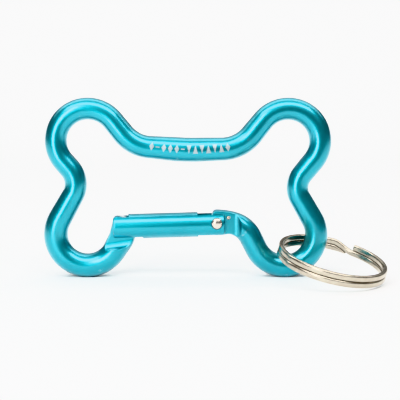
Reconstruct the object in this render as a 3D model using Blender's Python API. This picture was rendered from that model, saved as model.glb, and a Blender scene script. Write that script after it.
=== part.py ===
import math

import bpy
import bmesh
import numpy as np
from mathutils import Matrix, Vector

MM = 0.001

# Everything is laid out about the middle of the frame, then moved so that the
# origin is under the middle of the whole keyring.
TO_ORIGIN = (-6.60, 7.62, 0.08)

# Stock and bends of the frame, all in millimetres.  The frame stands in the XZ plane.
BEND_R = 3.0                 # base radius the others are scaled from
TONGUE_R = 3.39              # the pressed ends spread a little wider than the rod
BLEND = 1.5                  # length over which one radius runs into the next
SIDES = 16
ARC_STEP = 9.0               # degrees of bend per station
LINE_STEP = 4.0              # longest straight station

HINGE_END = (6.1, 14.12)
NOSE_TIP = (-15.8, 15.4)
# x, z, bend radius of the centreline, side the mandrel is on (+1 left of travel, -1 right), rod radius there.
# Straight lengths keep the full stock radius and tight bends draw the rod a little thinner.
MANDRELS = [
    (9.83, 14.12, 0.0, +1, TONGUE_R),
    (9.83, 7.00, 7.12, -1, 3.00),
    (24.98, 10.87, 8.15, +1, 2.95),
    (33.69, 23.15, 5.55, -1, 2.81),
    (25.56, 35.06, 8.27, +1, 2.86),
    (8.58, 42.98, 9.93, -1, 2.99),
    (1.22, 98.78, 65.90, -1, 3.13),
    (-9.10, 43.07, 9.56, -1, 2.90),
    (-25.54, 35.15, 8.22, +1, 2.83),
    (-34.87, 24.13, 6.05, -1, 2.87),
    (-26.05, 11.00, 8.10, +1, 3.11),
    (-21.80, 12.01, 5.00, +1, TONGUE_R),
]
END_CORNER = 1.1             # rounding of the two cut ends

# Hinge
PIVOT = (7.43, 14.2)
TONGUE_T = 3.2
HINGE_FLAT_END = 11.8        # where the hinge tongue's flats stop
CUTTER_R = 2.0               # radius of the milling cutter at both tongues
RIVET_HOLE_R = 1.15
SPRING_HOLE = (10.35, 15.5)
SPRING_HOLE_R = 0.5
SPRING_R = 0.4
SPRING_Y = 0.86              # the wire's body runs behind the middle plane
GROOVE_FLOOR = 0.38
GROOVE_H = 1.4

# Nose
NOSE_FLAT_Z = 9.6           # the nose tongue's flats start here
NOSE_FLAT_X = -17.3
NOSE_TILT = 9.0              # tilt of the milled shoulder, degrees
TOOTH_LOW = (-11.62, 9.90)
TOOTH_HIGH = (-15.74, 16.10)

# Gate
GATE_R = 3.25
GATE_DROP = 0.49             # the gate's axis runs this far below the pivot
GATE_TILT = 1.6              # degrees, rising towards the hinge
GATE_LEFT = -26.65           # from the pivot, along the gate
GATE_RIGHT = 2.05
GATE_CHAMFER = 0.45
SLOT_W = 3.8
HINGE_SLOT_END = -4.9
NOSE_SLOT_TOP = -22.82
NOSE_SLOT_LOW = -18.87
BORE_R = 1.35
BORE_DEPTH = 9.0

# Rivet
SHANK_R = 0.85
GATE_HOLE_R = 1.15
SEAT_R = 1.75
SEAT_Y = 2.6
HEAD_R = 1.42
HEAD_GAP = 0.05
HEAD_RIM = 0.3
HEAD_DOME = 0.7

# Split ring
RING_OUT_R = 14.0
RING_WIRE_W = 1.3
RING_WIRE_T = 1.54
RING_PITCH = 1.64
RING_JOG = 24.0              # degrees over which the wire climbs one pitch
RING_END_GAP = 0.3
RING_TAPER_AT = 0.32         # share of the jog where the thinned lower end stops
RING_JOG_AT = 72.0           # where the jog sits, degrees round from the right
RING_STEP = 3.25
RING_CENTRE = (36.35, -7.62, 5.63)
RING_TILT_X = 9.57
RING_TILT_Y = 11.93


def clear_scene():
    for ob in list(bpy.data.objects):
        bpy.data.objects.remove(ob, do_unlink=True)
    for block in (bpy.data.meshes, bpy.data.curves, bpy.data.materials):
        for item in list(block):
            block.remove(item)
    for coll in list(bpy.data.collections):
        bpy.data.collections.remove(coll)


clear_scene()
PARTS = bpy.data.collections.new("carabiner_keyring")
CUTTERS = bpy.data.collections.new("cutters")
bpy.context.scene.collection.children.link(PARTS)
bpy.context.scene.collection.children.link(CUTTERS)


def material(name, colour, metallic, roughness):
    mat = bpy.data.materials.new(name)
    mat.use_nodes = True
    bsdf = mat.node_tree.nodes["Principled BSDF"]
    bsdf.inputs["Base Color"].default_value = (*colour, 1.0)
    bsdf.inputs["Metallic"].default_value = metallic
    bsdf.inputs["Roughness"].default_value = roughness
    return mat


def add_object(name, mesh, coll, mat=None):
    ob = bpy.data.objects.new(name, mesh)
    coll.objects.link(ob)
    if mat:
        mesh.materials.clear()
        mesh.materials.append(mat)
    if coll is CUTTERS:
        ob.hide_render = True
        ob.display_type = 'WIRE'
    return ob


def smooth(ob, angle=35.0):
    ob.data.shade_smooth()
    ob.data.set_sharp_from_angle(angle=math.radians(angle))


def rod_path():
    """Centreline and radius stations of a rod pulled round the mandrels in turn."""
    stops = [(*HINGE_END, 0.0, 1, TONGUE_R)] + MANDRELS + [(*NOSE_TIP, 0.0, 1, TONGUE_R)]
    lines, angles = [], []
    for a, b in zip(stops[:-1], stops[1:]):
        dx, dz = b[0] - a[0], b[1] - a[1]
        dist = math.hypot(dx, dz)
        turn = math.atan2(dz, dx) - math.asin(max(-1.0, min(1.0, (b[3] * b[2] - a[3] * a[2]) / dist)))
        nx, nz = -math.sin(turn), math.cos(turn)
        lines.append(((a[0] - a[3] * a[2] * nx, a[1] - a[3] * a[2] * nz),
                      (b[0] - b[3] * b[2] * nx, b[1] - b[3] * b[2] * nz)))
        angles.append(turn)
    pts, radii = [], []
    for i, (p, q) in enumerate(lines):
        length = math.hypot(q[0] - p[0], q[1] - p[1])
        count = max(1, math.ceil(length / LINE_STEP))
        r0, r1 = stops[i][4], stops[i + 1][4]
        for k in range(count):
            t = k / count
            pts.append((p[0] + (q[0] - p[0]) * t, p[1] + (q[1] - p[1]) * t))
            radii.append(r0 + (r1 - r0) * t)
        if i + 1 < len(lines) and stops[i + 1][2] > 0.0:
            cx, cz, r, side, rod = stops[i + 1]
            a0, a1 = angles[i], angles[i + 1]
            a1 = a0 + side * ((side * (a1 - a0)) % (2 * math.pi))
            count = max(2, math.ceil(math.degrees(abs(a1 - a0)) / ARC_STEP), math.ceil(abs(a1 - a0) * r / LINE_STEP))
            for k in range(count):
                a = a0 + (a1 - a0) * k / count
                pts.append((cx + side * r * math.sin(a), cz - side * r * math.cos(a)))
                radii.append(rod)
    pts.append(NOSE_TIP)
    radii.append(TONGUE_R)
    pts, radii = np.array(pts), np.array(radii)
    run = np.concatenate([[0.0], np.cumsum(np.hypot(*np.diff(pts, axis=0).T))])
    soft = np.array([np.average(radii, weights=np.exp(-((run - s) / BLEND) ** 2)) for s in run])
    return pts, soft, run


def round_ends(pts, radii, run):
    """Adds close stations at both ends, drawn in along a quarter circle."""
    out_p, out_r = list(pts), list(radii)
    for end in (0, -1):
        inner = out_p[1] if end == 0 else out_p[-2]
        tip = out_p[end]
        back = np.array(inner) - np.array(tip)
        back = back / np.linalg.norm(back)
        extra = []
        for k in range(4):
            deg = math.radians(90.0 * k / 3)
            d = END_CORNER * (1 - math.sin(deg))
            rr = out_r[end] - END_CORNER * (1 - math.cos(deg)) if k else out_r[end]
            extra.append((np.array(tip) + back * d, out_r[end] - END_CORNER + END_CORNER * math.cos(deg)))
        if end == 0:
            out_p = [e[0] for e in reversed(extra)] + out_p[1:]
            out_r = [e[1] for e in reversed(extra)] + out_r[1:]
        else:
            out_p = out_p[:-1] + [e[0] for e in extra]
            out_r = out_r[:-1] + [e[1] for e in extra]
    return out_p, out_r


def sweep(name, points, radii, base, coll, resolution, mat=None):
    """A POLY curve with a round bevel and filled caps, turned into a welded mesh."""
    curve = bpy.data.curves.new(name + "_line", 'CURVE')
    curve.dimensions = '3D'
    curve.bevel_depth = base * MM
    curve.bevel_resolution = resolution
    curve.use_fill_caps = True
    spline = curve.splines.new('POLY')
    spline.points.add(len(points) - 1)
    for pt, co, r in zip(spline.points, points, radii):
        pt.co = (co[0] * MM, co[1] * MM, co[2] * MM, 1.0)
        pt.radius = r / base
    line = bpy.data.objects.new(name + "_line", curve)
    coll.objects.link(line)
    bpy.context.view_layer.update()
    mesh = bpy.data.meshes.new_from_object(line.evaluated_get(bpy.context.evaluated_depsgraph_get()))
    matrix = line.matrix_world.copy()
    bpy.data.objects.remove(line, do_unlink=True)
    bm = bmesh.new()
    bm.from_mesh(mesh)
    bmesh.ops.remove_doubles(bm, verts=bm.verts, dist=1e-7)
    bmesh.ops.recalc_face_normals(bm, faces=bm.faces)
    bm.to_mesh(mesh)
    bm.free()
    ob = add_object(name, mesh, coll, mat)
    ob.matrix_world = matrix
    return ob


def plate(name, outline, y0, y1):
    """A closed XZ outline filled and extruded along Y."""
    curve = bpy.data.curves.new(name, 'CURVE')
    curve.dimensions = '2D'
    curve.fill_mode = 'BOTH'
    curve.extrude = (y1 - y0) / 2 * MM
    spline = curve.splines.new('POLY')
    spline.points.add(len(outline) - 1)
    for pt, (x, z) in zip(spline.points, outline):
        pt.co = (x * MM, z * MM, 0.0, 1.0)
    spline.use_cyclic_u = True
    tmp = bpy.data.objects.new(name, curve)
    CUTTERS.objects.link(tmp)
    tmp.matrix_world = Matrix.Translation((0, (y0 + y1) / 2 * MM, 0)) @ Matrix.Rotation(math.pi / 2, 4, 'X')
    bpy.context.view_layer.update()
    mesh = bpy.data.meshes.new_from_object(tmp.evaluated_get(bpy.context.evaluated_depsgraph_get()))
    matrix = tmp.matrix_world.copy()
    bpy.data.objects.remove(tmp, do_unlink=True)
    bm = bmesh.new()
    bm.from_mesh(mesh)
    bmesh.ops.transform(bm, matrix=matrix, verts=bm.verts)
    bmesh.ops.remove_doubles(bm, verts=bm.verts, dist=1e-7)
    bmesh.ops.recalc_face_normals(bm, faces=bm.faces)
    bm.to_mesh(mesh)
    bm.free()
    return add_object(name, mesh, CUTTERS)


def cylinder(name, centre, radius, depth, axis, segments, coll, mat=None):
    mesh = bpy.data.meshes.new(name)
    bm = bmesh.new()
    turn = {'X': Matrix.Rotation(math.pi / 2, 4, 'Y'), 'Y': Matrix.Rotation(math.pi / 2, 4, 'X'), 'Z': Matrix.Identity(4)}[axis]
    bmesh.ops.create_cone(bm, cap_ends=True, segments=segments, radius1=radius * MM, radius2=radius * MM, depth=depth * MM,
                          matrix=Matrix.Translation(Vector(centre) * MM) @ turn)
    bm.to_mesh(mesh)
    bm.free()
    return add_object(name, mesh, coll, mat)


def box(name, low, high):
    mesh = bpy.data.meshes.new(name)
    bm = bmesh.new()
    size = [(h - l) * MM for l, h in zip(low, high)]
    mid = [(h + l) / 2 * MM for l, h in zip(low, high)]
    bmesh.ops.create_cube(bm, size=1.0, matrix=Matrix.Translation(mid) @ Matrix.Diagonal((*size, 1.0)))
    bm.to_mesh(mesh)
    bm.free()
    return add_object(name, mesh, CUTTERS)


def turned(name, profile, centre, segments, mat):
    """A profile of (radius, height along Y) turned about the Y axis."""
    mesh = bpy.data.meshes.new(name)
    bm = bmesh.new()
    verts = [bm.verts.new((r * MM, y * MM, 0.0)) for r, y in profile]
    edges = [bm.edges.new(pair) for pair in zip(verts[:-1], verts[1:])]
    bmesh.ops.spin(bm, geom=verts + edges, cent=(0, 0, 0), axis=(0, 1, 0), angle=2 * math.pi, steps=segments, use_merge=True)
    bmesh.ops.remove_doubles(bm, verts=bm.verts, dist=1e-7)
    bmesh.ops.recalc_face_normals(bm, faces=bm.faces)
    bm.to_mesh(mesh)
    bm.free()
    ob = add_object(name, mesh, PARTS, mat)
    ob.location = Vector(centre) * MM
    return ob


def cut(target, tools):
    for tool in tools:
        mod = target.modifiers.new("cut_" + tool.name, 'BOOLEAN')
        mod.operation = 'DIFFERENCE'
        mod.solver = 'EXACT'
        mod.object = tool
    bpy.context.view_layer.update()
    mesh = bpy.data.meshes.new_from_object(target.evaluated_get(bpy.context.evaluated_depsgraph_get()))
    target.modifiers.clear()
    old = target.data
    target.data = mesh
    mesh.name = target.name
    bpy.data.meshes.remove(old)
    bm = bmesh.new()
    bm.from_mesh(mesh)
    bmesh.ops.dissolve_degenerate(bm, dist=1e-7, edges=bm.edges)
    bmesh.ops.remove_doubles(bm, verts=bm.verts, dist=1e-7)
    bm.to_mesh(mesh)
    bm.free()


def set_origin(ob, point):
    shift = Vector(point) * MM - ob.location
    ob.data.transform(Matrix.Translation(-shift))
    ob.location = Vector(point) * MM


def shoulder(name, y_sign, start, length, height):
    """Milling path in plan: a flat running off the end and one quarter round where the cutter stops.
    Local X is along the flat, with the shoulder at +X; local Y is the side; extruded along local Z."""
    half = TONGUE_T / 2
    outline = [(-length, half), (0.0, half)]
    for k in range(1, 9):
        a = math.radians(90.0 * k / 8)
        outline.append((CUTTER_R * math.sin(a), half + CUTTER_R * (1 - math.cos(a))))
    outline.append((CUTTER_R, half + 6.0))
    outline.append((-length, half + 6.0))
    mesh = bpy.data.meshes.new(name)
    bm = bmesh.new()
    ring = [bm.verts.new((x * MM, y_sign * y * MM, -height / 2 * MM)) for x, y in outline]
    face = bm.faces.new(ring)
    out = bmesh.ops.extrude_face_region(bm, geom=[face])
    bmesh.ops.translate(bm, vec=(0, 0, height * MM), verts=[g for g in out["geom"] if isinstance(g, bmesh.types.BMVert)])
    bmesh.ops.recalc_face_normals(bm, faces=bm.faces)
    bm.to_mesh(mesh)
    bm.free()
    ob = add_object(name, mesh, CUTTERS)
    ob.matrix_world = start
    return ob


teal = material("anodised_teal_frame", (0.02, 0.45, 0.55), 0.9, 0.3)
teal_gate = material("anodised_teal_gate", (0.02, 0.43, 0.53), 0.9, 0.3)
bright = material("polished_rivet_steel", (0.75, 0.75, 0.74), 1.0, 0.18)
spring_mat = material("spring_wire_steel", (0.62, 0.6, 0.58), 1.0, 0.3)
ring_mat = material("nickel_ring_steel", (0.66, 0.62, 0.57), 1.0, 0.22)

# ---- bent rod frame ----
pts, radii, run = rod_path()
pts, radii = round_ends([tuple(p) for p in pts], list(radii), run)
frame = sweep("frame_rod", [(p[0], 0.0, p[1]) for p in pts], radii, BEND_R, PARTS, SIDES // 4 - 1, teal)

hinge_start = Matrix.Translation((HINGE_FLAT_END * MM, 0, PIVOT[1] * MM))
cuts = [shoulder("hinge_mill_front", -1, hinge_start, 12.0, 14.0), shoulder("hinge_mill_rear", 1, hinge_start, 12.0, 14.0)]
nose_start = (Matrix.Translation((NOSE_FLAT_X * MM, 0, NOSE_FLAT_Z * MM))
              @ Matrix.Rotation(math.radians(90.0 - NOSE_TILT), 4, 'Y'))
cuts += [shoulder("nose_mill_front", -1, nose_start, 9.0, 14.0), shoulder("nose_mill_rear", 1, nose_start, 9.0, 14.0)]
lean = ((TOOTH_HIGH[0] - TOOTH_LOW[0]) / (TOOTH_HIGH[1] - TOOTH_LOW[1]))
cuts.append(plate("tooth_relief", [(TOOTH_LOW[0], TOOTH_LOW[1]), (TOOTH_LOW[0] + 5.0, TOOTH_LOW[1] - 0.3),
                                   (TOOTH_LOW[0] + 5.0, 20.0), (TOOTH_LOW[0] + lean * (20.0 - TOOTH_LOW[1]), 20.0)], -5.0, 5.0))
cuts.append(cylinder("rivet_hole", (PIVOT[0], 0, PIVOT[1]), RIVET_HOLE_R, 8.0, 'Y', 20, CUTTERS))
cuts.append(cylinder("spring_hole", (SPRING_HOLE[0], 0, SPRING_HOLE[1]), SPRING_HOLE_R, 8.0, 'Y', 12, CUTTERS))
cuts.append(box("spring_groove", (2.0, GROOVE_FLOOR, SPRING_HOLE[1] - GROOVE_H / 2),
                (SPRING_HOLE[0] + 0.55, 4.0, SPRING_HOLE[1] + GROOVE_H / 2)))
cut(frame, cuts)
smooth(frame)

# ---- gate ----
gate_turn = Matrix.Translation((PIVOT[0] * MM, 0, PIVOT[1] * MM)) @ Matrix.Rotation(math.radians(-GATE_TILT), 4, 'Y')


def gate_bar():
    mesh = bpy.data.meshes.new("gate_bar")
    bm = bmesh.new()
    profile = [(0.0, GATE_LEFT), (GATE_R - GATE_CHAMFER, GATE_LEFT), (GATE_R, GATE_LEFT + GATE_CHAMFER),
               (GATE_R, GATE_RIGHT - GATE_CHAMFER), (GATE_R - GATE_CHAMFER, GATE_RIGHT), (0.0, GATE_RIGHT)]
    verts = [bm.verts.new((x * MM, 0.0, (r - GATE_DROP) * MM)) for r, x in profile]
    edges = [bm.edges.new(pair) for pair in zip(verts[:-1], verts[1:])]
    bmesh.ops.spin(bm, geom=verts + edges, cent=(0, 0, -GATE_DROP * MM), axis=(1, 0, 0), angle=2 * math.pi, steps=24, use_merge=True)
    bmesh.ops.remove_doubles(bm, verts=bm.verts, dist=1e-7)
    bmesh.ops.recalc_face_normals(bm, faces=bm.faces)
    bm.to_mesh(mesh)
    bm.free()
    return add_object("gate_bar", mesh, PARTS, teal_gate)


gate = gate_bar()
gate.matrix_world = gate_turn
hinge_slot = box("hinge_slot", (HINGE_SLOT_END, -SLOT_W / 2, -6.0), (GATE_RIGHT + 3.0, SLOT_W / 2, 6.0))
bore = cylinder("spring_bore", (HINGE_SLOT_END - BORE_DEPTH / 2 + 1.0, 0, -GATE_DROP), BORE_R, BORE_DEPTH + 2.0, 'X', 16, CUTTERS)
rivet_bore = cylinder("gate_rivet_hole", (0, 0, 0), GATE_HOLE_R, 10.0, 'Y', 20, CUTTERS)
seat_front = cylinder("seat_front", (0, -SEAT_Y - 1.0, 0), SEAT_R, 2.0, 'Y', 24, CUTTERS)
seat_rear = cylinder("seat_rear", (0, SEAT_Y + 1.0, 0), SEAT_R, 2.0, 'Y', 24, CUTTERS)
slope = (NOSE_SLOT_LOW - NOSE_SLOT_TOP) / (2 * GATE_R)
low, high = -6.0 - GATE_DROP, 6.0 - GATE_DROP
nose_slot = plate("nose_slot", [(GATE_LEFT - 3.0, low), (NOSE_SLOT_LOW + slope * (6.0 - GATE_R), low),
                                (NOSE_SLOT_TOP - slope * (6.0 - GATE_R), high), (GATE_LEFT - 3.0, high)], -SLOT_W / 2, SLOT_W / 2)
gate_cuts = [hinge_slot, bore, rivet_bore, seat_front, seat_rear, nose_slot]
for tool in gate_cuts:
    tool.matrix_world = gate_turn @ tool.matrix_world
cut(gate, gate_cuts)
smooth(gate)

# ---- rivet: shank and two domed heads ----
rim = SEAT_Y + HEAD_GAP
profile = [(0.0, -rim - HEAD_RIM - HEAD_DOME)]
for k in range(1, 5):
    a = math.radians(90.0 * k / 4)
    profile.append((HEAD_R * math.sin(a), -rim - HEAD_RIM - HEAD_DOME * math.cos(a)))
profile += [(HEAD_R, -rim), (SHANK_R, -rim)]
profile += [(r, -y) for r, y in reversed(profile)]
rivet = turned("hinge_rivet", profile, (PIVOT[0], 0, PIVOT[1]), 20, bright)
smooth(rivet)

# ---- gate return spring: hooked wire ----
bend = 0.62
sx, sz = SPRING_HOLE
wire = [(sx, -TONGUE_T / 2 - 0.02, sz), (sx, SPRING_Y - bend, sz)]
for k in range(1, 5):
    a = math.radians(90.0 * k / 4)
    wire.append((sx - bend * (1 - math.cos(a)), SPRING_Y - bend + bend * math.sin(a), sz))
run_line = [(7.4, SPRING_Y, 15.56), (5.4, SPRING_Y, 15.2), (3.9, 0.62, 14.55), (2.4, 0.4, 14.0), (0.4, 0.25, 13.65),
            (-1.6, 0.1, 13.48), (-3.2, 0.0, 13.42)]
wire += run_line
spring = sweep("gate_spring", wire, [SPRING_R] * len(wire), SPRING_R, PARTS, 1, spring_mat)
set_origin(spring, (sx, 0.0, sz))
smooth(spring)


# ---- split ring ----
def ring_section():
    """Half-flattened wire: flats on the two wound faces, rounded inside and out."""
    hw, ht = RING_WIRE_W / 2, RING_WIRE_T / 2
    c = 0.42
    return [(hw, -ht + c), (hw, ht - c), (hw - c * 0.7, ht), (-hw + c * 0.7, ht), (-hw, ht - c), (-hw, -ht + c),
            (-hw + c * 0.7, -ht), (hw - c * 0.7, -ht)]


def split_ring():
    mesh = bpy.data.meshes.new("split_ring")
    bm = bmesh.new()
    mid = RING_OUT_R - RING_WIRE_W / 2
    first = RING_JOG * (RING_TAPER_AT - 0.5)
    last = 720.0 - RING_JOG / 2 - RING_END_GAP
    count = round((last - first) / RING_STEP)
    section = ring_section()
    rings = []
    for k in range(count + 1):
        deg = first + (last - first) * k / count
        t = min(1.0, max(0.0, (deg - (360.0 - RING_JOG / 2)) / RING_JOG))
        rise = RING_PITCH * (t * t * (3 - 2 * t) - 0.5)
        # the lower end is thinned to lie under the climbing wire
        t = min(1.0, deg / RING_JOG + 0.5)
        over = t * t * (3 - 2 * t)
        thin = min(1.0, (RING_PITCH * over - 0.1 - 0.06 * (1 - over)) / RING_WIRE_T)
        a = math.radians(deg + RING_JOG_AT)
        rings.append([bm.verts.new(((mid + w) * math.cos(a) * MM, (mid + w) * math.sin(a) * MM,
                                    (rise - RING_WIRE_T / 2 + (h + RING_WIRE_T / 2) * thin) * MM)) for w, h in section])
    n = len(section)
    for r0, r1 in zip(rings[:-1], rings[1:]):
        for i in range(n):
            bm.faces.new((r0[i], r0[(i + 1) % n], r1[(i + 1) % n], r1[i]))
    bm.faces.new(rings[0])
    bm.faces.new(list(reversed(rings[-1])))
    bmesh.ops.recalc_face_normals(bm, faces=bm.faces)
    bm.to_mesh(mesh)
    bm.free()
    return add_object("split_ring", mesh, PARTS, ring_mat)


ring = split_ring()
ty, tx = math.radians(RING_TILT_Y), math.radians(RING_TILT_X)
u = Vector((math.cos(ty), 0.0, -math.sin(ty)))
v = math.cos(tx) * Vector((0, 1, 0)) + math.sin(tx) * u.cross(Vector((0, 1, 0)))
n = u.cross(v)
pose = Matrix((u, v, n)).transposed().to_4x4()
ring.data.transform(pose)
ring.location = Vector(RING_CENTRE) * MM
smooth(ring, 50.0)

for ob in list(PARTS.objects) + list(CUTTERS.objects):
    ob.location += Vector(TO_ORIGIN) * MM
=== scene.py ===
import math

import bpy
import bmesh
import numpy as np
from mathutils import Matrix, Vector


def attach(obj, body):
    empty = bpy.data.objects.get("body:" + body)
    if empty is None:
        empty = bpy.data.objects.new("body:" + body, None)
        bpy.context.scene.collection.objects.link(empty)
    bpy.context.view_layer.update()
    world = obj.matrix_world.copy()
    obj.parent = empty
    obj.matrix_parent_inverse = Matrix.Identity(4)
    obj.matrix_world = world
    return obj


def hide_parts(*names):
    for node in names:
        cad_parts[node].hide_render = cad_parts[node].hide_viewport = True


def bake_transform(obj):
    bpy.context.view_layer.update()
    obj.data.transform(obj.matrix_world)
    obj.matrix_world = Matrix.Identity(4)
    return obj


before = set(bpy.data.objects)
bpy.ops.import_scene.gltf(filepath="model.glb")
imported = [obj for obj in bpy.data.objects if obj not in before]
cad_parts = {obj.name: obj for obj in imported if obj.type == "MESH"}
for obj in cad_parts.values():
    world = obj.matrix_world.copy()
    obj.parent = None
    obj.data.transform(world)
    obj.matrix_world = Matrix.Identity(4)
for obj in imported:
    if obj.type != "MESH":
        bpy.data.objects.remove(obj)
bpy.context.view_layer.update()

MM = 0.001

# The same layout as the CAD: drawn about the middle of the frame in millimetres, then moved to the row's origin.
TO_ORIGIN = np.array((-6.60, 7.62, 0.08))
TONGUE_R = 3.39
HINGE_END = (6.1, 14.12)
NOSE_TIP = (-15.8, 15.4)
MANDRELS = [
    (9.83, 14.12, 0.0, +1, TONGUE_R),
    (9.83, 7.00, 7.12, -1, 3.00),
    (24.98, 10.87, 8.15, +1, 2.95),
    (33.69, 23.15, 5.55, -1, 2.81),
    (25.56, 35.06, 8.27, +1, 2.86),
    (8.58, 42.98, 9.93, -1, 2.99),
    (1.22, 98.78, 65.90, -1, 3.13),
    (-9.10, 43.07, 9.56, -1, 2.90),
    (-25.54, 35.15, 8.22, +1, 2.83),
    (-34.87, 24.13, 6.05, -1, 2.87),
    (-26.05, 11.00, 8.10, +1, 3.11),
    (-21.80, 12.01, 5.00, +1, TONGUE_R),
]
BLEND = 1.5
END_CORNER = 1.25
PIVOT = (7.43, 14.2)
HALF_T = 1.6
HINGE_FLAT_END = 11.8
CUTTER_R = 2.0
NOSE_FLAT_X, NOSE_FLAT_Z, NOSE_TILT = -17.3, 9.6, 9.0
TOOTH_LOW, TOOTH_HIGH = (-11.62, 9.90), (-15.74, 16.10)
SPRING_HOLE = (10.35, 15.5)
GATE_R, GATE_DROP = 3.25, 0.49
GATE_TILT = 1.6
GATE_LEFT, GATE_RIGHT = -26.65, 2.05
SLOT_W = 3.8
HINGE_SLOT_END = -4.9
NOSE_SLOT_TOP, NOSE_SLOT_LOW = -22.82, -18.87
RING_OUT_R, RING_WIRE_W, RING_WIRE_T, RING_PITCH = 14.0, 1.3, 1.58, 1.64
RING_JOG, RING_END_GAP, RING_JOG_AT, RING_TAPER_AT = 24.0, 0.3, 72.0, 0.32
RING_CENTRE = (36.35, -7.62, 5.63)
RING_TILT_X, RING_TILT_Y = 9.57, 11.93


def to_row(p):
    return tuple((np.asarray(p, dtype=float) + TO_ORIGIN) * MM)


# ------------------------------------------------------------------ camera
CAM = (3.09, -260.0, 52.41)
AIM_Z = 19.91
cam_data = bpy.data.cameras.new("camera")
cam_data.sensor_width = 36.0
cam_data.lens = 36.0 * (math.hypot(260.0, CAM[2] - AIM_Z) / 0.2575) / 400.0
cam_data.dof.use_dof = False
cam = bpy.data.objects.new("camera", cam_data)
bpy.context.scene.collection.objects.link(cam)
cam.location = to_row(CAM)
cam.rotation_euler = (math.radians(90.0) - math.atan2(CAM[2] - AIM_Z, 260.0), 0.0, 0.0)
bpy.context.scene.camera = cam


# ------------------------------------------------------------------ mesh helpers
def link(name, bm_or_mesh):
    if isinstance(bm_or_mesh, bmesh.types.BMesh):
        mesh = bpy.data.meshes.new(name)
        bm_or_mesh.to_mesh(mesh)
        bm_or_mesh.free()
    else:
        mesh = bm_or_mesh
    ob = bpy.data.objects.new(name, mesh)
    bpy.context.scene.collection.objects.link(ob)
    return ob


def smooth(ob, angle):
    ob.data.shade_smooth()
    ob.data.set_sharp_from_angle(angle=math.radians(angle))


def tube_bm(rings, close_ends=True):
    """Quads between successive rings of points, in row metres."""
    bm = bmesh.new()
    loops = [[bm.verts.new(to_row(p)) for p in ring] for ring in rings]
    n = len(loops[0])
    for a, b in zip(loops[:-1], loops[1:]):
        for i in range(n):
            bm.faces.new((a[i], a[(i + 1) % n], b[(i + 1) % n], b[i]))
    if close_ends:
        bm.faces.new(loops[0])
        bm.faces.new(list(reversed(loops[-1])))
    bmesh.ops.recalc_face_normals(bm, faces=bm.faces)
    return bm


def cut(target, tools, solver='EXACT'):
    for tool in tools:
        mod = target.modifiers.new("cut_" + tool.name, 'BOOLEAN')
        mod.operation = 'DIFFERENCE'
        mod.solver = solver
        mod.object = tool
    bpy.context.view_layer.update()
    mesh = bpy.data.meshes.new_from_object(target.evaluated_get(bpy.context.evaluated_depsgraph_get()))
    target.modifiers.clear()
    target.data = mesh
    for tool in tools:
        bpy.data.objects.remove(tool, do_unlink=True)


def cutter_cylinder(name, centre, radius, depth, axis, segments=96):
    bm = bmesh.new()
    turn = {'X': Matrix.Rotation(math.pi / 2, 4, 'Y'), 'Y': Matrix.Rotation(math.pi / 2, 4, 'X'), 'Z': Matrix.Identity(4)}[axis]
    bmesh.ops.create_cone(bm, cap_ends=True, segments=segments, radius1=radius * MM, radius2=radius * MM, depth=depth * MM,
                          matrix=Matrix.Translation(Vector(centre) * MM) @ turn)
    return link(name, bm)


def cutter_prism(name, outline, y0, y1):
    bm = bmesh.new()
    face = bm.faces.new([bm.verts.new((x * MM, y0 * MM, z * MM)) for x, z in outline])
    out = bmesh.ops.extrude_face_region(bm, geom=[face])
    bmesh.ops.translate(bm, vec=(0, (y1 - y0) * MM, 0), verts=[g for g in out["geom"] if isinstance(g, bmesh.types.BMVert)])
    bmesh.ops.recalc_face_normals(bm, faces=bm.faces)
    return link(name, bm)


def shift_row(ob):
    ob.data.transform(Matrix.Translation(Vector(TO_ORIGIN) * MM))


# ------------------------------------------------------------------ bent rod frame
def rod_path(step_line=0.6, step_arc=0.45, fine=0.13):
    stops = [(*HINGE_END, 0.0, 1, TONGUE_R)] + MANDRELS + [(*NOSE_TIP, 0.0, 1, TONGUE_R)]
    lines, angles = [], []
    for a, b in zip(stops[:-1], stops[1:]):
        dx, dz = b[0] - a[0], b[1] - a[1]
        turn = math.atan2(dz, dx) - math.asin(max(-1.0, min(1.0, (b[3] * b[2] - a[3] * a[2]) / math.hypot(dx, dz))))
        nx, nz = -math.sin(turn), math.cos(turn)
        lines.append(((a[0] - a[3] * a[2] * nx, a[1] - a[3] * a[2] * nz), (b[0] - b[3] * b[2] * nx, b[1] - b[3] * b[2] * nz)))
        angles.append(turn)
    pts, radii, tang = [], [], []
    last = len(lines) - 1
    for i, (p, q) in enumerate(lines):
        length = math.hypot(q[0] - p[0], q[1] - p[1])
        step = fine if i in (0, 1, last - 1, last) else step_line
        count = max(1, math.ceil(length / step))
        r0, r1 = stops[i][4], stops[i + 1][4]
        for k in range(count):
            t = k / count
            pts.append((p[0] + (q[0] - p[0]) * t, p[1] + (q[1] - p[1]) * t))
            radii.append(r0 + (r1 - r0) * t)
            tang.append(angles[i])
        if i < last and stops[i + 1][2] > 0.0:
            cx, cz, r, side, rod = stops[i + 1]
            a0 = angles[i]
            a1 = a0 + side * ((side * (angles[i + 1] - a0)) % (2 * math.pi))
            step = fine * 1.3 if i in (1, last - 1) else step_arc
            count = max(2, math.ceil(abs(a1 - a0) * r / step))
            for k in range(count):
                a = a0 + (a1 - a0) * k / count
                pts.append((cx + side * r * math.sin(a), cz - side * r * math.cos(a)))
                radii.append(rod)
                tang.append(a)
    pts.append(NOSE_TIP)
    radii.append(TONGUE_R)
    tang.append(angles[-1])
    pts, radii, tang = np.array(pts), np.array(radii), np.unwrap(np.array(tang))
    run = np.concatenate([[0.0], np.cumsum(np.hypot(*np.diff(pts, axis=0).T))])
    w = np.exp(-((run[:, None] - run[None, :]) / BLEND) ** 2)
    seg = np.gradient(run)
    soft = (w * (radii * seg)).sum(1) / (w * seg).sum(1)
    return pts, soft, tang, run


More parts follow.
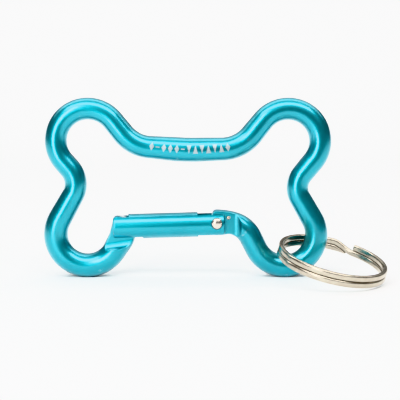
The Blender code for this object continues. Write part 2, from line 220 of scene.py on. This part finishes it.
def ease(h, y, r):
    """Smooth minimum of |y| and h, which leaves a small round where the two meet."""
    d = h - np.abs(y)
    k = np.clip(0.5 + d / (2 * r), 0.0, 1.0)
    return np.sign(y) * (h * (1 - k) + np.abs(y) * k - r * k * (1 - k))


def mill_height(u):
    """Half thickness left by the cutter at distance u past the end of the flat."""
    u = np.clip(u, 0.0, CUTTER_R)
    return HALF_T + CUTTER_R - np.sqrt(CUTTER_R ** 2 - u ** 2) + np.where(u >= CUTTER_R, 50.0, 0.0)


def build_frame_rod():
    sides = 112
    pts, radii, tang, run = rod_path()
    total = run[-1]
    phi = np.arange(sides) * 2 * math.pi / sides
    rings = []
    tilt = math.radians(NOSE_TILT)
    for (x, z), r, a, s in zip(pts, radii, tang, run):
        end = min(s, total - s)
        if end < END_CORNER:
            r = r - END_CORNER + math.sqrt(max(0.0, END_CORNER ** 2 - (END_CORNER - end) ** 2))
        nx, nz = -math.sin(a), math.cos(a)
        px = x + r * np.cos(phi) * nx
        pz = z + r * np.cos(phi) * nz
        py = r * np.sin(phi)
        if s < 16.0:
            h = mill_height(px - HINGE_FLAT_END)
            py = ease(h, py, 0.11)
        elif total - s < 14.0:
            up = -math.sin(tilt) * (px - NOSE_FLAT_X) + math.cos(tilt) * (pz - NOSE_FLAT_Z)
            h = mill_height(-up)
            py = ease(h, py, 0.11)
        rings.append(np.stack([px, py, pz], axis=1))
    ob = link("rod_frame_fine", tube_bm(rings))
    lean = (TOOTH_HIGH[0] - TOOTH_LOW[0]) / (TOOTH_HIGH[1] - TOOTH_LOW[1])
    tools = [
        cutter_prism("tooth", [(TOOTH_LOW[0], TOOTH_LOW[1]), (TOOTH_LOW[0] + 5.0, TOOTH_LOW[1] - 0.3), (TOOTH_LOW[0] + 5.0, 20.0),
                               (TOOTH_LOW[0] + lean * (20.0 - TOOTH_LOW[1]), 20.0)], -5.0, 5.0),
        cutter_cylinder("rivet_hole", (PIVOT[0], 0, PIVOT[1]), 1.15, 8.0, 'Y', 64),
        cutter_cylinder("spring_hole", (SPRING_HOLE[0], 0, SPRING_HOLE[1]), 0.5, 8.0, 'Y', 48),
        cutter_prism("groove", [(2.0, SPRING_HOLE[1] - 0.7), (SPRING_HOLE[0] + 0.55, SPRING_HOLE[1] - 0.7),
                                (SPRING_HOLE[0] + 0.55, SPRING_HOLE[1] + 0.7), (2.0, SPRING_HOLE[1] + 0.7)], 0.38, 4.0),
    ]
    for tool in tools:
        shift_row(tool)
    cut(ob, tools)
    smooth(ob, 32)
    return ob


# ------------------------------------------------------------------ gate
def build_gate():
    sides, turn = 128, math.radians(GATE_TILT)
    c, s = math.cos(turn), math.sin(turn)
    profile = []
    for k in range(7):
        a = math.radians(90.0 * k / 6)
        profile.append((GATE_LEFT + 0.4 * (1 - math.sin(a)), GATE_R - 0.4 + 0.4 * math.cos(a)))
    profile.reverse()
    profile = [(x, r) for x, r in profile]
    xs = np.linspace(GATE_LEFT + 0.4, GATE_RIGHT - 0.55, 60)[1:-1]
    left = [(GATE_LEFT + 0.4 * (1 - math.sin(math.radians(90.0 * k / 6))), GATE_R - 0.4 * (1 - math.sin(math.radians(90.0 * k / 6)))) for k in range(7)]
    right = [(GATE_RIGHT - 0.55 * (1 - math.cos(math.radians(90.0 * k / 6))), GATE_R - 0.55 * (1 - math.cos(math.radians(90.0 * k / 6)))) for k in range(7)]
    left = [(GATE_LEFT + 0.4 - 0.4 * math.cos(math.radians(15.0 * k)), GATE_R - 0.4 + 0.4 * math.sin(math.radians(15.0 * k))) for k in range(7)]
    right = [(GATE_RIGHT - 0.55 + 0.55 * math.sin(math.radians(15.0 * k)), GATE_R - 0.55 + 0.55 * math.cos(math.radians(15.0 * k))) for k in range(7)]
    rings = []
    for x, r in left + [(x, GATE_R) for x in xs] + right:
        ring = []
        for k in range(sides):
            a = 2 * math.pi * k / sides
            y, z = r * math.sin(a), r * math.cos(a) - GATE_DROP
            ring.append((PIVOT[0] + x * c - z * s, y, PIVOT[1] + x * s + z * c))
        rings.append(ring)
    ob = link("gate_bar_fine", tube_bm(rings))
    slope = (NOSE_SLOT_LOW - NOSE_SLOT_TOP) / (2 * GATE_R)
    low, high = -6.0 - GATE_DROP, 6.0 - GATE_DROP
    tools = [
        cutter_prism("hinge_slot", [(HINGE_SLOT_END, -6.0), (GATE_RIGHT + 3.0, -6.0), (GATE_RIGHT + 3.0, 6.0), (HINGE_SLOT_END, 6.0)],
                     -SLOT_W / 2, SLOT_W / 2),
        cutter_prism("nose_slot", [(GATE_LEFT - 3.0, low), (NOSE_SLOT_LOW + slope * (6.0 - GATE_R), low),
                                   (NOSE_SLOT_TOP - slope * (6.0 - GATE_R), high), (GATE_LEFT - 3.0, high)], -SLOT_W / 2, SLOT_W / 2),
        cutter_cylinder("bore", (HINGE_SLOT_END - 3.5, 0, -GATE_DROP), 1.35, 11.0, 'X', 64),
        cutter_cylinder("rivet_bore", (0, 0, 0), 1.15, 10.0, 'Y', 64),
        cutter_cylinder("seat_front", (0, -2.6 - 1.0, 0), 1.52, 2.0, 'Y', 96),
        cutter_cylinder("seat_rear", (0, 2.6 + 1.0, 0), 1.52, 2.0, 'Y', 96),
    ]
    place = Matrix.Translation(Vector(to_row((PIVOT[0], 0, PIVOT[1])))) @ Matrix.Rotation(-turn, 4, 'Y')
    for tool in tools:
        tool.data.transform(place)
    cut(ob, tools)
    smooth(ob, 32)
    return ob


# ------------------------------------------------------------------ rivet
def build_rivet():
    rim, head_r, rim_h, dome = 2.65, 1.42, 0.26, 0.74
    half = [(0.85, -1.0), (0.85, -rim), (head_r - 0.06, -rim), (head_r, -rim - 0.05), (head_r, -rim - rim_h)]
    for k in range(1, 15):
        a = math.radians(90.0 * k / 14)
        half.append((head_r * math.cos(a) ** 0.92 if k < 14 else 0.0, -rim - rim_h - dome * math.sin(a)))
    profile = [(r, y) for r, y in reversed(half)] + [(r, -y) for r, y in half]
    bm = bmesh.new()
    verts = [bm.verts.new((r * MM, y * MM, 0.0)) for r, y in profile]
    edges = [bm.edges.new(pair) for pair in zip(verts[:-1], verts[1:])]
    bmesh.ops.spin(bm, geom=verts + edges, cent=(0, 0, 0), axis=(0, 1, 0), angle=2 * math.pi, steps=64, use_merge=True)
    bmesh.ops.remove_doubles(bm, verts=bm.verts, dist=1e-7)
    bmesh.ops.recalc_face_normals(bm, faces=bm.faces)
    bmesh.ops.translate(bm, vec=to_row((PIVOT[0], 0, PIVOT[1])), verts=bm.verts)
    ob = link("hinge_rivet_fine", bm)
    smooth(ob, 40)
    return ob


# ------------------------------------------------------------------ spring wire
def build_spring():
    bend, sx, sz, sy = 0.62, SPRING_HOLE[0], SPRING_HOLE[1], 0.86
    ctrl = [(sx, -HALF_T - 0.06, sz), (sx, sy - bend, sz)]
    for k in range(1, 9):
        a = math.radians(90.0 * k / 8)
        ctrl.append((sx - bend * (1 - math.cos(a)), sy - bend + bend * math.sin(a), sz))
    run = [(9.0, sy, 15.53), (8.2, sy, 15.56), (7.4, sy, 15.56), (5.4, sy, 15.2), (3.9, 0.62, 14.55), (2.4, 0.4, 14.0), (0.4, 0.25, 13.65),
           (-1.6, 0.1, 13.48), (-3.2, 0.0, 13.42)]
    pts = [np.array(p) for p in ctrl]
    chain = [np.array(ctrl[-1])] + [np.array(p) for p in run]
    for i in range(len(chain) - 1):
        p0 = chain[max(i - 1, 0)]
        p1, p2 = chain[i], chain[i + 1]
        p3 = chain[min(i + 2, len(chain) - 1)]
        for k in range(1, 9):
            t = k / 8
            pts.append(0.5 * ((2 * p1) + (p2 - p0) * t + (2 * p0 - 5 * p1 + 4 * p2 - p3) * t * t + (3 * p1 - p0 - 3 * p2 + p3) * t ** 3))
    pts = np.array(pts)
    d = np.gradient(pts, axis=0)
    d /= np.linalg.norm(d, axis=1)[:, None]
    up = np.array((0.0, 0.0, 1.0))
    run_s = np.concatenate([[0.0], np.cumsum(np.linalg.norm(np.diff(pts, axis=0), axis=1))])
    rings = []
    extra = [(pts[0], d[0], 0.0, 0.18), (pts[0], d[0], 0.02, 0.26), (pts[0], d[0], 0.06, 0.34), (pts[0], d[0], 0.12, 0.39), (pts[0], d[0], 0.2, 0.4)]
    stations = [(p + t * o, t, r) for p, t, o, r in extra] + [(p, t, 0.4) for p, t, s in zip(pts, d, run_s) if s > 0.25]
    for p, t, r in stations:
        side = np.cross(up, t)
        side /= np.linalg.norm(side)
        nrm = np.cross(t, side)
        rings.append([p + r * (math.cos(a) * side + math.sin(a) * nrm) for a in np.linspace(0, 2 * math.pi, 25)[:-1]])
    ob = link("gate_spring_fine", tube_bm(rings))
    smooth(ob, 50)
    return ob


# ------------------------------------------------------------------ split ring
def build_ring():
    mid = RING_OUT_R - RING_WIRE_W / 2
    first, last = RING_JOG * (RING_TAPER_AT - 0.5), 720.0 - RING_JOG / 2 - RING_END_GAP
    count = 440
    hw, ht = RING_WIRE_W / 2, RING_WIRE_T / 2
    section = []
    for k in range(32):
        a = 2 * math.pi * (k + 0.5) / 32
        ca, sa = math.cos(a), math.sin(a)
        section.append((hw * math.copysign(abs(ca) ** 0.72, ca), ht * math.copysign(abs(sa) ** 0.62, sa)))
    ty, tx = math.radians(RING_TILT_Y), math.radians(RING_TILT_X)
    u = Vector((math.cos(ty), 0.0, -math.sin(ty)))
    v = math.cos(tx) * Vector((0, 1, 0)) + math.sin(tx) * u.cross(Vector((0, 1, 0)))
    n = u.cross(v)
    U, V, N, C = np.array(u), np.array(v), np.array(n), np.array(RING_CENTRE)
    rings = []
    cap = [(0.0, 0.78), (0.25, 0.9), (0.7, 0.98), (1.3, 1.0)]
    degs = [first + d for d, _ in cap[:-1]] + list(np.linspace(first + 1.3, last - 1.3, count)) + [last - d for d, _ in reversed(cap[:-1])]
    scale = [f for _, f in cap[:-1]] + [1.0] * count + [f for _, f in reversed(cap[:-1])]
    for deg, f in zip(degs, scale):
        t = min(1.0, max(0.0, (deg - (360.0 - RING_JOG / 2)) / RING_JOG))
        rise = RING_PITCH * (t * t * (3 - 2 * t) - 0.5)
        t = min(1.0, deg / RING_JOG + 0.5)
        over = t * t * (3 - 2 * t)
        thin = min(1.0, (RING_PITCH * over - 0.055 - 0.005 * (1 - over)) / RING_WIRE_T)
        a = math.radians(deg + RING_JOG_AT)
        er = math.cos(a) * U + math.sin(a) * V
        rings.append([C + (mid + w * f) * er + (rise - ht + (h * f + ht) * thin) * N for w, h in section])
    ob = link("split_ring_fine", tube_bm(rings))
    smooth(ob, 60)
    return ob


# ------------------------------------------------------------------ etched marks on the top bar
def build_marks():
    """A row of plain geometric marks, each a thin solid laid on the rod's front face."""
    cx, cz, big, bar_r = 1.22, 98.78, 65.90, 3.13
    bm = bmesh.new()

    def on_bar(s, h):
        """s along the bar from x = 0, h up from the middle of the band, both in millimetres."""
        a = (s - cx) / big
        mx, mz = cx + big * math.sin(a), cz - big * math.cos(a)
        nx, nz = -math.sin(a), math.cos(a)
        ang = (h + 0.3) / bar_r
        return mx, mz, nx, nz, ang

    def stroke(outline, holes=()):
        """Outline in (s, h), made as a strip of thin quads."""
        for quad in outline:
            lo, hi = [], []
            for s, h in quad:
                mx, mz, nx, nz, ang = on_bar(s, h)
                for r, store in ((bar_r - 0.02, lo), (bar_r + 0.012, hi)):
                    store.append(bm.verts.new(to_row((mx + r * math.sin(ang) * nx, -r * math.cos(ang), mz + r * math.sin(ang) * nz))))
            k = len(quad)
            bm.faces.new(hi)
            bm.faces.new(list(reversed(lo)))
            for i in range(k):
                bm.faces.new((lo[i], lo[(i + 1) % k], hi[(i + 1) % k], hi[i]))

    def line(s0, h0, s1, h1, w=0.3):
        steps = max(1, int(abs(h1 - h0) / 0.25), int(abs(s1 - s0) / 0.6))
        ds, dh = s1 - s0, h1 - h0
        ln = math.hypot(ds, dh)
        ox, oh = -dh / ln * w / 2, ds / ln * w / 2
        out = []
        for k in range(steps):
            t0, t1 = k / steps, (k + 1) / steps
            a, b = (s0 + ds * t0, h0 + dh * t0), (s0 + ds * t1, h0 + dh * t1)
            out.append([(a[0] - ox, a[1] - oh), (b[0] - ox, b[1] - oh), (b[0] + ox, b[1] + oh), (a[0] + ox, a[1] + oh)])
        stroke(out)

    def solid(s, low, top, half):
        """Filled shape whose half width at a share t of its height is half(t)."""
        n, out = 12, []
        for k in range(n):
            t0, t1 = k / n, (k + 1) / n
            h0, h1 = low + (top - low) * t0, low + (top - low) * t1
            a, b = max(0.01, half(t0)), max(0.01, half(t1))
            out.append([(s - a, h0), (s + a, h0), (s + b, h1), (s - b, h1)])
        stroke(out)

    top, low = 1.1, -1.1
    for s, kind in ((-9.2, "solid"), (-7.7, "dash"), (-6.1, "solid"), (-4.45, "solid"), (-2.8, "solid"), (-1.25, "dash"),
                    (0.3, "down"), (1.95, "up"), (3.6, "down"), (5.25, "up"), (6.9, "down"), (8.55, "up"), (10.2, "solid")):
        if kind == "solid":
            solid(s, low, top, lambda t: 0.62 * (1 - abs(2 * t - 1)))
        elif kind == "dash":
            line(s - 0.5, 0.0, s + 0.5, 0.0)
        elif kind == "down":
            solid(s, low, top, lambda t: 0.62 * t)
        else:
            solid(s, low, top, lambda t: 0.62 * (1 - t))
    bmesh.ops.recalc_face_normals(bm, faces=bm.faces)
    ob = link("etched_marks", bm)
    return ob


rod = build_frame_rod()
gate = build_gate()
rivet = build_rivet()
spring = build_spring()
ring = build_ring()
marks = build_marks()


# ------------------------------------------------------------------ materials
def new_material(name):
    mat = bpy.data.materials.new(name)
    mat.use_nodes = True
    nt = mat.node_tree
    return mat, nt, nt.nodes["Principled BSDF"]


def node(nt, kind, **inputs):
    nd = nt.nodes.new(kind)
    for key, value in inputs.items():
        nd.inputs[key.replace("_", " ")].default_value = value
    return nd


def ramp(nt, source, stops):
    nd = nt.nodes.new("ShaderNodeValToRGB")
    els = nd.color_ramp.elements
    while len(els) < len(stops):
        els.new(0.5)
    for el, (pos, col) in zip(els, stops):
        el.position = pos
        el.color = (*col, 1.0) if len(col) == 3 else (col[0], col[0], col[0], 1.0)
    nt.links.new(source, nd.inputs["Fac"])
    return nd


def map_range(nt, source, a, b, c, d):
    nd = nt.nodes.new("ShaderNodeMapRange")
    for key, value in (("From Min", a), ("From Max", b), ("To Min", c), ("To Max", d)):
        nd.inputs[key].default_value = value
    nt.links.new(source, nd.inputs["Value"])
    return nd.outputs["Result"]


def coords(nt, scale=(1, 1, 1)):
    tc = nt.nodes.new("ShaderNodeTexCoord")
    mp = nt.nodes.new("ShaderNodeMapping")
    mp.inputs["Scale"].default_value = scale
    nt.links.new(tc.outputs["Object"], mp.inputs["Vector"])
    return mp.outputs["Vector"]


def anodised(name, base, deep, pale, rough, along=(1, 1, 1)):
    mat, nt, bsdf = new_material(name)
    L = nt.links.new
    bsdf.inputs["Metallic"].default_value = 1.0
    bsdf.inputs["Coat Weight"].default_value = 1.0
    bsdf.inputs["Coat Roughness"].default_value = 0.17
    bsdf.inputs["Coat IOR"].default_value = 1.5
    cloud = node(nt, "ShaderNodeTexNoise", Scale=180.0, Detail=4.0, Roughness=0.55)
    L(coords(nt), cloud.inputs["Vector"])
    tint = ramp(nt, cloud.outputs["Fac"], [(0.25, deep), (0.55, base), (0.85, pale)])
    wear = node(nt, "ShaderNodeTexNoise", Scale=900.0, Detail=6.0, Roughness=0.7)
    L(coords(nt), wear.inputs["Vector"])
    geo = nt.nodes.new("ShaderNodeNewGeometry")
    edge = map_range(nt, geo.outputs["Pointiness"], 0.53, 0.62, 0.0, 1.0)
    edge_noise = nt.nodes.new("ShaderNodeMath")
    edge_noise.operation = 'MULTIPLY'
    L(edge, edge_noise.inputs[0])
    L(map_range(nt, wear.outputs["Fac"], 0.45, 0.62, 0.0, 0.22), edge_noise.inputs[1])
    worn = nt.nodes.new("ShaderNodeMix")
    worn.data_type = 'RGBA'
    L(edge_noise.outputs[0], worn.inputs["Factor"])
    L(tint.outputs["Color"], worn.inputs["A"])
    worn.inputs["B"].default_value = (0.55, 0.78, 0.82, 1.0)
    L(worn.outputs["Result"], bsdf.inputs["Base Color"])
    grain = node(nt, "ShaderNodeTexNoise", Scale=2600.0, Detail=3.0, Roughness=0.6)
    L(coords(nt, along), grain.inputs["Vector"])
    L(map_range(nt, grain.outputs["Fac"], 0.3, 0.7, rough - 0.012, rough + 0.012), bsdf.inputs["Roughness"])
    bump = node(nt, "ShaderNodeBump", Strength=0.01, Distance=0.000005)
    L(grain.outputs["Fac"], bump.inputs["Height"])
    L(bump.outputs["Normal"], bsdf.inputs["Normal"])
    return mat


def steel(name, base, dark, rough, scale=1500.0, bump_strength=0.06):
    mat, nt, bsdf = new_material(name)
    L = nt.links.new
    bsdf.inputs["Metallic"].default_value = 1.0
    cloud = node(nt, "ShaderNodeTexNoise", Scale=420.0, Detail=5.0, Roughness=0.6)
    L(coords(nt), cloud.inputs["Vector"])
    tint = ramp(nt, cloud.outputs["Fac"], [(0.3, dark), (0.7, base)])
    L(tint.outputs["Color"], bsdf.inputs["Base Color"])
    grain = node(nt, "ShaderNodeTexNoise", Scale=scale, Detail=4.0, Roughness=0.65)
    L(coords(nt), grain.inputs["Vector"])
    L(map_range(nt, grain.outputs["Fac"], 0.3, 0.7, rough - 0.04, rough + 0.06), bsdf.inputs["Roughness"])
    bump = node(nt, "ShaderNodeBump", Strength=bump_strength, Distance=0.00002)
    L(grain.outputs["Fac"], bump.inputs["Height"])
    L(bump.outputs["Normal"], bsdf.inputs["Normal"])
    return mat


BASE, DEEP, PALE = (0.0, 0.275, 0.35), (0.0, 0.25, 0.32), (0.005, 0.305, 0.38)
teal = anodised("anodised_frame", BASE, DEEP, PALE, 0.32)
teal_gate = anodised("anodised_gate", BASE, DEEP, PALE, 0.32, (0.15, 1, 1))
rivet_mat = steel("polished_rivet", (0.66, 0.62, 0.56), (0.55, 0.50, 0.44), 0.22)
spring_mat = steel("nickel_ring", (0.47, 0.43, 0.355), (0.36, 0.32, 0.26), 0.2)
ring_mat = steel("nickel_ring", (0.47, 0.43, 0.355), (0.36, 0.32, 0.26), 0.2)
mark_mat = steel("etched_mark", (0.32, 0.39, 0.41), (0.24, 0.31, 0.33), 0.5, 3000.0, 0.3)

for ob, mat, body, nodes in ((rod, teal, "frame", ("frame_rod",)), (gate, teal_gate, "gate", ("gate_bar",)),
                             (rivet, rivet_mat, "gate", ("hinge_rivet",)), (ring, ring_mat, "ring", ("split_ring",)),
                             (marks, mark_mat, "frame", ())):
    ob.data.materials.clear()
    ob.data.materials.append(mat)
    if nodes:
        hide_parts(*nodes)
    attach(ob, body)

spring.data.materials.clear()
spring.data.materials.append(spring_mat)
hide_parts("gate_spring")
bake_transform(spring)


# ------------------------------------------------------------------ floor, backdrop and light
def stage_material(name, value, rough):
    mat, nt, bsdf = new_material(name)
    grain = node(nt, "ShaderNodeTexNoise", Scale=60.0, Detail=3.0)
    nt.links.new(coords(nt), grain.inputs["Vector"])
    tint = ramp(nt, grain.outputs["Fac"], [(0.3, (value * 0.992,) * 3), (0.7, (value,) * 3)])
    nt.links.new(tint.outputs["Color"], bsdf.inputs["Base Color"])
    bsdf.inputs["Roughness"].default_value = rough
    bsdf.inputs["Specular IOR Level"].default_value = 0.2
    return mat


def build_sweep():
    """Floor that curves up into a plain backdrop."""
    line = [(-0.11, 0.0), (0.35, 0.0)]
    for k in range(1, 13):
        a = math.radians(90.0 * k / 12)
        line.append((0.35 + 0.12 * math.sin(a), 0.12 * (1 - math.cos(a))))
    bm = bmesh.new()
    rows = [[bm.verts.new((x, y, z)) for x in (-1.2, 1.2)] for y, z in line]
    for a, b in zip(rows[:-1], rows[1:]):
        bm.faces.new((a[0], a[1], b[1], b[0]))
    bmesh.ops.recalc_face_normals(bm, faces=bm.faces)
    ob = link("sweep", bm)
    smooth(ob, 60)
    ob.data.materials.append(stage_material("paper", 0.9, 0.7))
    return ob


build_sweep()


def area(name, size, location, target, power, colour=(1, 1, 1)):
    data = bpy.data.lights.new(name, 'AREA')
    data.shape = 'RECTANGLE'
    data.size, data.size_y = size
    data.energy = power
    data.color = colour
    ob = bpy.data.objects.new(name, data)
    bpy.context.scene.collection.objects.link(ob)
    ob.location = location
    ob.rotation_euler = (Vector(target) - Vector(location)).to_track_quat('-Z', 'Y').to_euler()
    return ob


area("key_box", (0.9, 0.24), (0.0, -0.31, 0.5), (0.0, 0.0, 0.02), 5.6)
area("rear_ceiling", (1.2, 0.86), (0.0, 0.25, 0.6), (0.0, 0.0, 0.02), 3.0)
area("front_fill", (0.9, 0.16), (0.0, -0.48, 0.27), (0.0, 0.0, 0.02), 0.28)
area("left_strip", (0.08, 0.36), (-0.175, -0.325, 0.1), (0.0, 0.0, 0.03), 1.6)
area("backdrop_wash", (1.6, 0.12), (0.0, 0.15, 0.5), (0.0, 0.47, 0.03), 3.4)

world = bpy.data.worlds.new("room")
bpy.context.scene.world = world
world.use_nodes = True
world.node_tree.nodes["Background"].inputs["Color"].default_value = (1.0, 1.0, 1.0, 1.0)
world.node_tree.nodes["Background"].inputs["Strength"].default_value = 0.2
bpy.context.scene.view_settings.view_transform = 'Khronos PBR Neutral'
